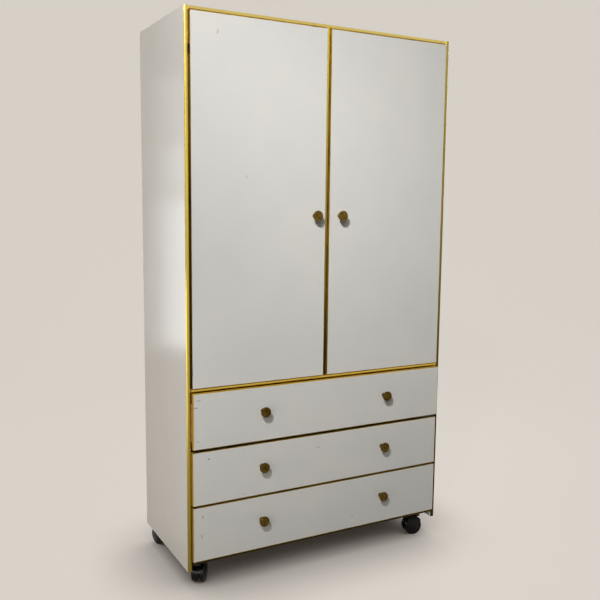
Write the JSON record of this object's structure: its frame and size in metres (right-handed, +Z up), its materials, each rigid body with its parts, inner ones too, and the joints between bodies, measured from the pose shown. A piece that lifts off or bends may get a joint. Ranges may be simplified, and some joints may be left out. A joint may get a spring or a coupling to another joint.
{
  "type": "chifforobe",
  "caption": "White chifforobe on swivel casters: hanging compartments behind a pair of doors above full-width drawers, with gold half-round edging and flared brass knobs",
  "frame": {"origin": "on the floor, under the middle of the whole piece's box", "axes": "+Z up, front with doors and drawers faces -Y, +X to the right seen from the front"},
  "size_m": [0.988, 0.4755, 1.818],
  "materials": {
    "white_board": "satin white melamine facing on particle board",
    "gold_edging": "glossy gold half-round moulding",
    "front_band": "dark gold-brown edge band",
    "knob_brass": "aged brass, softly polished",
    "raw_wood": "plain sanded softwood",
    "hardboard": "smooth brown hardboard",
    "steel": "zinc plated steel",
    "hinge_metal": "brown lacquered steel",
    "caster_metal": "black painted steel",
    "caster_plastic": "black moulded nylon",
    "inner_plastic": "off-white plastic"
  },
  "bodies": {
    "cabinet": {"left_side_panel": "white_board", "right_side_panel": "white_board", "top_panel": "white_board", "bottom_panel": "white_board", "middle_shelf": "white_board", "centre_partition": "white_board", "back_panel": "hardboard", "left_side_edging": "gold_edging", "right_side_edging": "gold_edging", "top_edging": "gold_edging", "bottom_edging": "gold_edging", "shelf_edging": "gold_edging", "partition_edging": "gold_edging", "hanging_rails": "steel", "rail_sockets": "inner_plastic", "hinge_arms": "hinge_metal", "hinge_pins": "hinge_metal", "drawer_runners": "raw_wood", "caster_plates": "caster_metal", "fixing_screws": "steel", "carcass_dowels": "raw_wood", "door_catches": "inner_plastic"},
    "left_door": {"left_door_panel": "white_board", "left_door_edging": "front_band", "left_door_knob": "knob_brass", "left_door_hinge_cups": "hinge_metal"},
    "right_door": {"right_door_panel": "white_board", "right_door_edging": "front_band", "right_door_knob": "knob_brass", "right_door_hinge_cups": "hinge_metal"},
    "drawer_1": {"drawer_1_front": "white_board", "drawer_1_edging": "front_band", "drawer_1_sides": "raw_wood", "drawer_1_back": "raw_wood", "drawer_1_bottom": "hardboard", "drawer_1_knobs": "knob_brass"},
    "drawer_2": {"drawer_2_front": "white_board", "drawer_2_edging": "front_band", "drawer_2_sides": "raw_wood", "drawer_2_back": "raw_wood", "drawer_2_bottom": "hardboard", "drawer_2_knobs": "knob_brass"},
    "drawer_3": {"drawer_3_front": "white_board", "drawer_3_edging": "front_band", "drawer_3_sides": "raw_wood", "drawer_3_back": "raw_wood", "drawer_3_bottom": "hardboard", "drawer_3_knobs": "knob_brass"},
    "front_left_caster": {"front_left_caster_hood": "caster_plastic"},
    "front_left_wheel": {"front_left_caster_wheels": "caster_plastic", "front_left_caster_axle": "steel"},
    "front_right_caster": {"front_right_caster_hood": "caster_plastic"},
    "front_right_wheel": {"front_right_caster_wheels": "caster_plastic", "front_right_caster_axle": "steel"},
    "rear_left_caster": {"rear_left_caster_hood": "caster_plastic"},
    "rear_left_wheel": {"rear_left_caster_wheels": "caster_plastic", "rear_left_caster_axle": "steel"},
    "rear_right_caster": {"rear_right_caster_hood": "caster_plastic"},
    "rear_right_wheel": {"rear_right_caster_wheels": "caster_plastic", "rear_right_caster_axle": "steel"}
  },
  "joints": [
    {"name": "left_door_hinge", "type": "hinge", "parent": "cabinet", "child": "left_door", "pos_m": [-0.467, -0.1955, 1.236], "axis": [0, 0, -1], "range_deg": [0, 110]},
    {"name": "right_door_hinge", "type": "hinge", "parent": "cabinet", "child": "right_door", "pos_m": [0.467, -0.1955, 1.236], "axis": [0, 0, 1], "range_deg": [0, 110]},
    {"name": "drawer_1_slide", "type": "slide", "parent": "cabinet", "child": "drawer_1", "axis": [0, -1, 0], "range_m": [-0.007, 0.283]},
    {"name": "drawer_2_slide", "type": "slide", "parent": "cabinet", "child": "drawer_2", "axis": [0, -1, 0], "range_m": [0, 0.29]},
    {"name": "drawer_3_slide", "type": "slide", "parent": "cabinet", "child": "drawer_3", "axis": [0, -1, 0], "range_m": [0, 0.29]},
    {"name": "front_left_swivel", "type": "hinge", "parent": "cabinet", "child": "front_left_caster", "pos_m": [-0.445, -0.1525, 0.076], "axis": [0, 0, 1], "continuous": true},
    {"name": "front_left_roll", "type": "hinge", "parent": "front_left_caster", "child": "front_left_wheel", "pos_m": [-0.43207, -0.1347, 0.0325], "axis": [-0.809, 0.5878, 0], "continuous": true},
    {"name": "front_right_swivel", "type": "hinge", "parent": "cabinet", "child": "front_right_caster", "pos_m": [0.445, -0.1525, 0.076], "axis": [0, 0, 1], "continuous": true},
    {"name": "front_right_roll", "type": "hinge", "parent": "front_right_caster", "child": "front_right_wheel", "pos_m": [0.42327, -0.14906, 0.0325], "axis": [-0.1564, -0.9877, 0], "continuous": true},
    {"name": "rear_left_swivel", "type": "hinge", "parent": "cabinet", "child": "rear_left_caster", "pos_m": [-0.445, 0.1805, 0.076], "axis": [0, 0, 1], "continuous": true},
    {"name": "rear_left_roll", "type": "hinge", "parent": "rear_left_caster", "child": "rear_left_wheel", "pos_m": [-0.45143, 0.20154, 0.0325], "axis": [-0.9563, -0.2924, 0], "continuous": true},
    {"name": "rear_right_swivel", "type": "hinge", "parent": "cabinet", "child": "rear_right_caster", "pos_m": [0.445, 0.1805, 0.076], "axis": [0, 0, 1], "continuous": true},
    {"name": "rear_right_roll", "type": "hinge", "parent": "rear_right_caster", "child": "rear_right_wheel", "pos_m": [0.44882, 0.20217, 0.0325], "axis": [-0.9848, 0.1736, 0], "continuous": true}
  ]
}
